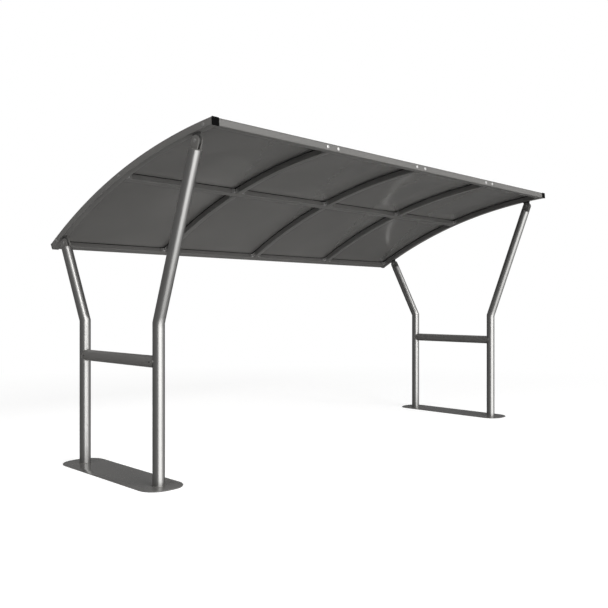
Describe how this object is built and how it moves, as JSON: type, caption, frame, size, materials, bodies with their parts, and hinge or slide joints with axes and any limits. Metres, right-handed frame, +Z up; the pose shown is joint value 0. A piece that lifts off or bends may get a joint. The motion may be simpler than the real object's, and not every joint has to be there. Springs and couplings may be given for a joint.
{
  "type": "bike shelter",
  "caption": "Open cycle shelter with a one-way arched metal roof on two pairs of mitred round posts, each pair on a long base plate with a crossbar.",
  "frame": {"origin": "on the floor, under the centre of the shelter's overall box", "axes": "+X along the shelter from the left end frame to the right, +Y from the high open front to the low rear, +Z up"},
  "size_m": [4.436, 2.0684, 2.2917],
  "materials": {
    "stainless": "satin",
    "fork_steel": "satin",
    "bolt_steel": "satin",
    "frame_paint": "satin",
    "roof_paint": "satin",
    "bar_paint": "satin",
    "plate_paint": "semi-gloss",
    "black_plastic": "matt",
    "lug_paint": "satin"
  },
  "bodies": {
    "root": {"front_rail": "frame_paint", "front_rib_1": "frame_paint", "front_rib_2": "frame_paint", "front_rib_3": "frame_paint", "left_base_plate": "plate_paint", "left_crossbar": "bar_paint", "left_end_rib": "frame_paint", "left_front_bolt": "bolt_steel", "left_front_cap": "black_plastic", "left_front_fork": "fork_steel", "left_front_lug": "lug_paint", "left_front_post": "stainless", "left_rear_bolt": "bolt_steel", "left_rear_cap": "black_plastic", "left_rear_fork": "fork_steel", "left_rear_lug": "lug_paint", "left_rear_post": "stainless", "purlin": "frame_paint", "rear_rail": "frame_paint", "rear_rib_1": "frame_paint", "rear_rib_2": "frame_paint", "rear_rib_3": "frame_paint", "right_base_plate": "plate_paint", "right_crossbar": "bar_paint", "right_end_rib": "frame_paint", "right_front_bolt": "bolt_steel", "right_front_cap": "black_plastic", "right_front_fork": "fork_steel", "right_front_lug": "lug_paint", "right_front_post": "stainless", "right_rear_bolt": "bolt_steel", "right_rear_cap": "black_plastic", "right_rear_fork": "fork_steel", "right_rear_lug": "lug_paint", "right_rear_post": "stainless", "roof_panel_1": "roof_paint", "roof_panel_2": "roof_paint", "roof_panel_3": "roof_paint", "roof_panel_4": "roof_paint"}
  },
  "joints": []
}
